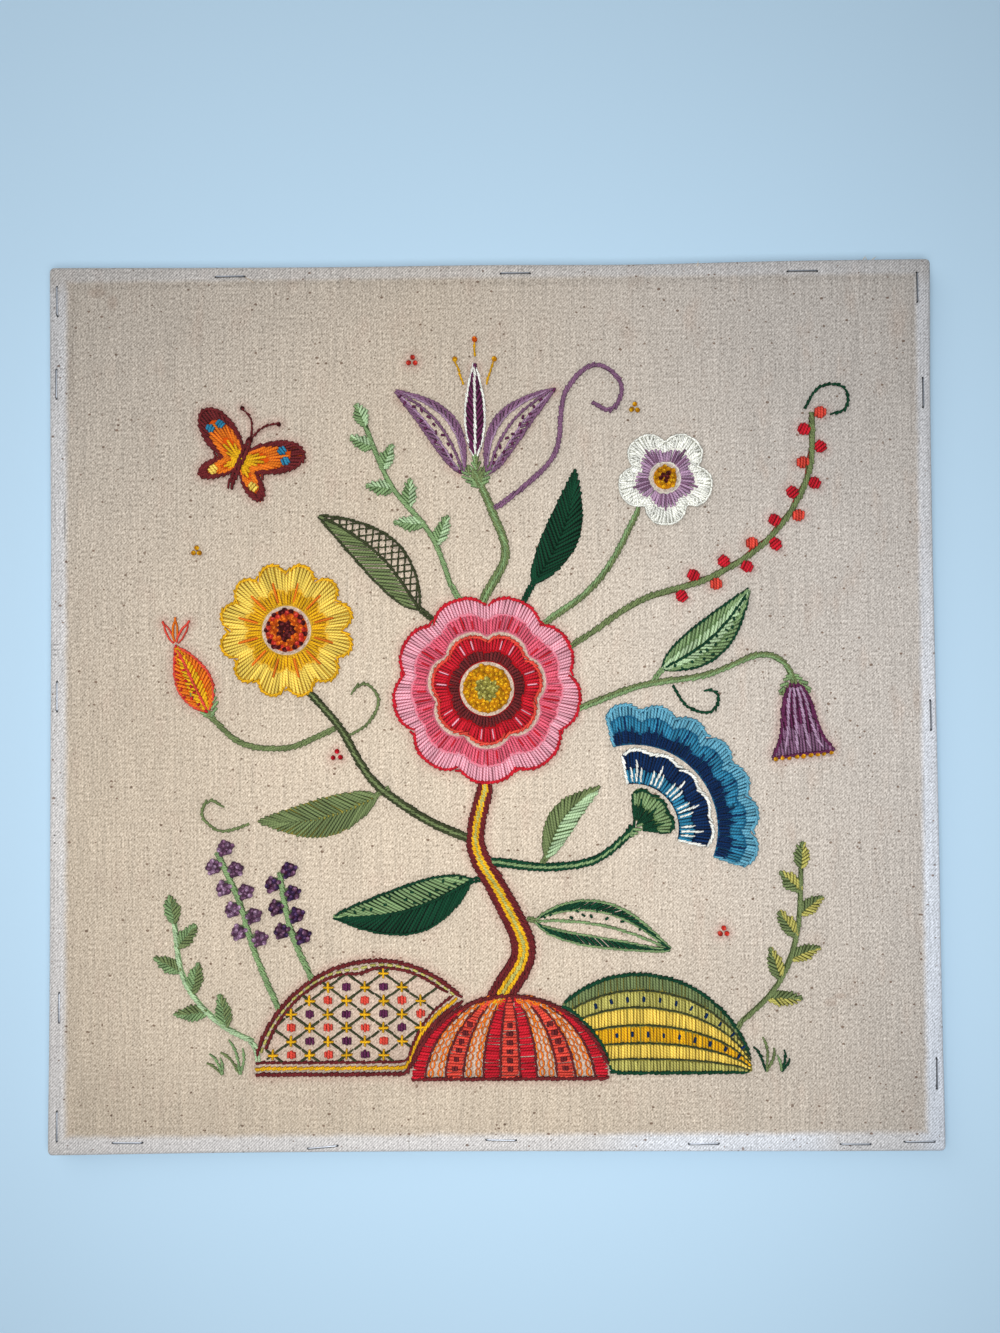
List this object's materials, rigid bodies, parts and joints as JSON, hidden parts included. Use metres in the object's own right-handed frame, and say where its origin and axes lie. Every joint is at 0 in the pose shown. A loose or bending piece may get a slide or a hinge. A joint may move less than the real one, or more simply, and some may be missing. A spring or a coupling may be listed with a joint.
{
  "type": "crewel embroidery mounted on a board",
  "caption": "Square wool crewel embroidery of a flowering tree on natural twill, folded round a thin board and stapled through its front margin.",
  "frame": {"origin": "middle of the panel's back, on the plane that its turn-ins rest on", "axes": "+Z out of the embroidered face, +Y towards the picture's top edge, +X to the picture's right"},
  "size_m": [0.3556, 0.3556, 0.0102],
  "materials": {
    "twill": "natural linen-coloured twill, matt",
    "board": "plain pressed board",
    "staple_steel": "dull wire",
    "wool_burgundy": "wool yarn",
    "wool_red": "wool yarn",
    "wool_coral": "wool yarn",
    "wool_orange": "wool yarn",
    "wool_gold": "wool yarn",
    "wool_yellow": "wool yarn",
    "wool_lime": "wool yarn",
    "wool_forest": "wool yarn",
    "wool_sage": "wool yarn",
    "wool_leaf": "wool yarn",
    "wool_mint": "wool yarn",
    "wool_olive": "wool yarn",
    "wool_navy": "wool yarn",
    "wool_sky": "wool yarn",
    "wool_plum": "wool yarn",
    "wool_mauve": "wool yarn",
    "wool_lilac": "wool yarn",
    "wool_pink": "wool yarn",
    "wool_white": "wool yarn"
  },
  "bodies": {
    "root": {"mount_board": "board", "cloth": "twill", "staple_01": "staple_steel", "staple_02": "staple_steel", "staple_03": "staple_steel", "staple_04": "staple_steel", "staple_05": "staple_steel", "staple_06": "staple_steel", "staple_07": "staple_steel", "staple_08": "staple_steel", "staple_09": "staple_steel", "staple_10": "staple_steel", "staple_11": "staple_steel", "staple_12": "staple_steel", "staple_13": "staple_steel", "staple_14": "staple_steel", "staple_15": "staple_steel", "staple_16": "staple_steel", "staple_17": "staple_steel", "staple_18": "staple_steel", "mound_front": "wool_coral", "mound_left": "wool_burgundy", "mound_right": "wool_lime", "trunk": "wool_burgundy", "tulip_stem": "wool_sage", "daisy_stem": "wool_olive", "bud_stem": "wool_sage", "carnation_stem": "wool_forest", "blossom_stem": "wool_leaf", "bell_stem": "wool_sage", "tendril_top": "wool_mauve", "leaf_trunk_left": "wool_forest", "leaf_trunk_right": "wool_mint", "leaf_low_left": "wool_lime", "leaf_high_left": "wool_sage", "leaf_high_right": "wool_forest", "leaf_side_right": "wool_leaf", "leaf_carnation": "wool_sage", "tulip_petal_left": "wool_lilac", "tulip_petal_right": "wool_lilac", "tulip_heart": "wool_plum", "bud": "wool_orange", "rose_petals": "wool_pink", "rose_inner_petals": "wool_red", "daisy_petals": "wool_yellow", "blossom_petals": "wool_white", "rose_heart": "wool_gold", "daisy_heart": "wool_orange", "blossom_heart": "wool_gold", "carnation_petals": "wool_sky", "carnation_middle": "wool_navy", "carnation_calyx": "wool_leaf", "bell": "wool_plum", "butterfly": "wool_orange", "sprig_right": "wool_sage", "sprig_left": "wool_leaf", "sprig_low_left": "wool_mint", "berry_spray": "wool_red", "lavender_long": "wool_mauve", "lavender_short": "wool_plum"}
  },
  "joints": []
}
